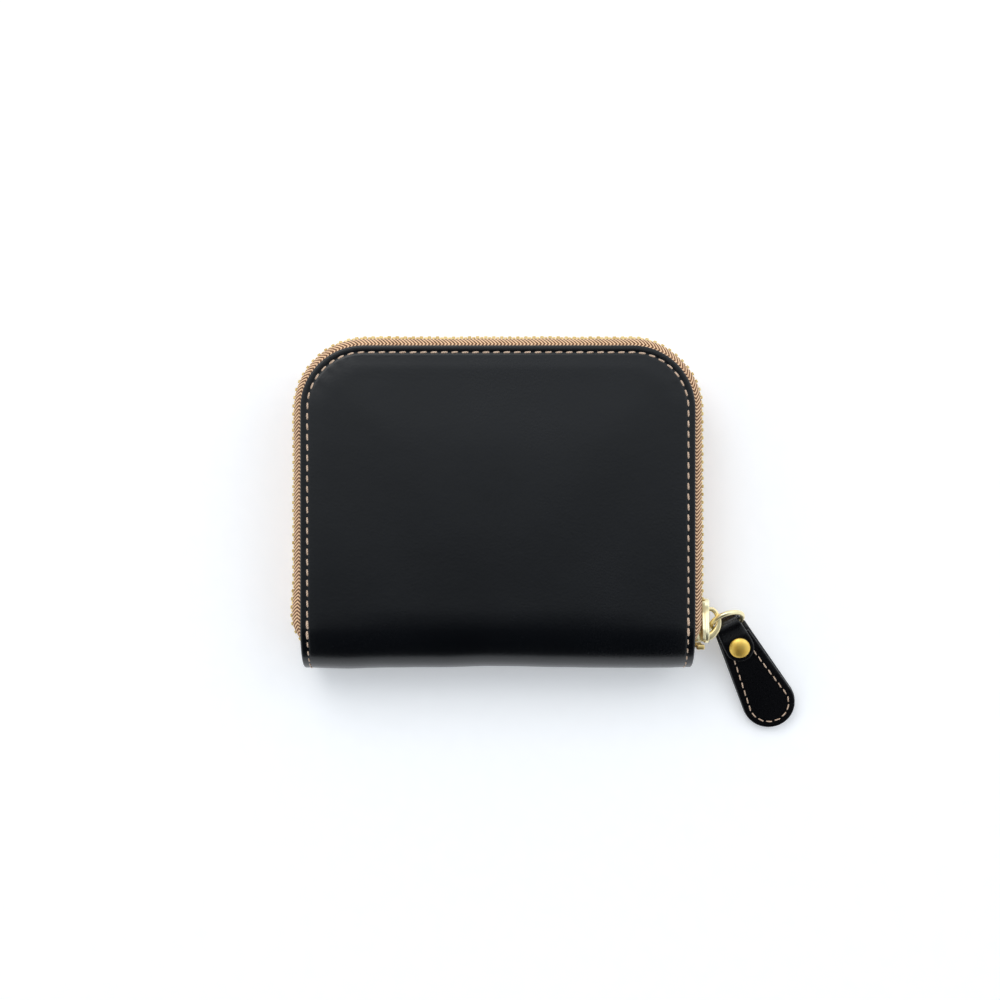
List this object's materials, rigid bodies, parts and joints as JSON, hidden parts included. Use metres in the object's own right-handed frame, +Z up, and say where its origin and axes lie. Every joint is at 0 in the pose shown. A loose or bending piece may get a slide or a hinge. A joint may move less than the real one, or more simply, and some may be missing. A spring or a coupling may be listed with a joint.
{
  "type": "zip-round coin purse",
  "caption": "Compact leather zip-round coin purse with a folded spine, brass zip on three sides and a teardrop leather pull on a jump ring.",
  "frame": {"origin": "centre of the back cover's flat resting face", "axes": "+X to the slider's side, +Y from the fold to the zipped top edge, +Z up through the thickness to the front cover"},
  "size_m": [0.1445, 0.1126, 0.024],
  "materials": {
    "cover_leather": "smooth semi-gloss black calf",
    "pull_leather": "smooth semi-gloss black calf with painted edges",
    "binding_leather": "smooth black, thin",
    "thread": "waxed beige thread",
    "board": "plain grey-brown fibre board",
    "lining": "brown cotton twill",
    "zip_tape": "beige-brown twill tape",
    "zip_brass": "satin brass",
    "slider_brass": "bright light gold",
    "rivet_brass": "antique brass, domed"
  },
  "bodies": {
    "back": {"back_cover": "cover_leather", "back_cover_stitching": "thread", "back_board": "board", "back_lining": "lining", "back_zip_tape": "zip_tape", "back_zip_teeth": "zip_brass", "zip_start_stop": "zip_brass", "back_end_stop": "zip_brass", "note_pocket": "lining", "left_gusset": "lining", "right_gusset": "lining"},
    "front": {"front_cover": "cover_leather", "front_cover_stitching": "thread", "front_board": "board", "front_lining": "lining", "front_zip_tape": "zip_tape", "front_zip_teeth": "zip_brass", "front_end_stop": "zip_brass", "card_slot_1": "lining", "card_slot_2": "lining", "card_slot_3": "lining"},
    "coin_pocket": {"coin_pocket_front": "lining", "coin_pocket_back": "lining", "coin_pocket_base": "lining", "coin_pocket_binding": "binding_leather"},
    "slider": {"slider_body": "slider_brass", "slider_crown": "slider_brass"},
    "ring": {"jump_ring": "slider_brass"},
    "pull": {"pull_strap": "pull_leather", "pull_front_leather": "pull_leather", "pull_stitching": "thread", "rivet_cap": "rivet_brass", "rivet_post": "rivet_brass"}
  },
  "joints": [
    {"name": "cover_hinge", "type": "hinge", "parent": "back", "child": "front", "pos_m": [0, -0.0452, 0.012], "axis": [1, 0, 0], "range_deg": [0, 45], "deforming": ["left_gusset", "right_gusset", "front_zip_teeth", "back_zip_teeth"]},
    {"name": "pocket_hinge", "type": "hinge", "parent": "back", "child": "coin_pocket", "pos_m": [0, -0.0452, 0.012], "axis": [1, 0, 0], "range_deg": [0, 22.5]},
    {"name": "slider_run", "type": "slide", "parent": "back", "child": "slider", "axis": [0, 1, 0], "range_m": [0, 0.05], "deforming": ["front_zip_teeth", "back_zip_teeth"]},
    {"name": "ring_swing", "type": "hinge", "parent": "slider", "child": "ring", "pos_m": [0.06305, -0.0323, 0.012], "axis": [0, 1, 0], "range_deg": [-35, 8]},
    {"name": "pull_swing", "type": "hinge", "parent": "ring", "child": "pull", "pos_m": [0.06625, -0.03377, 0.00773], "axis": [0.88, 0.4491, 0.1544], "range_deg": [-50, 60]}
  ],
  "couplings": [
    {"joint": "pocket_hinge", "follows": "cover_hinge", "ratio": 0.5}
  ]
}
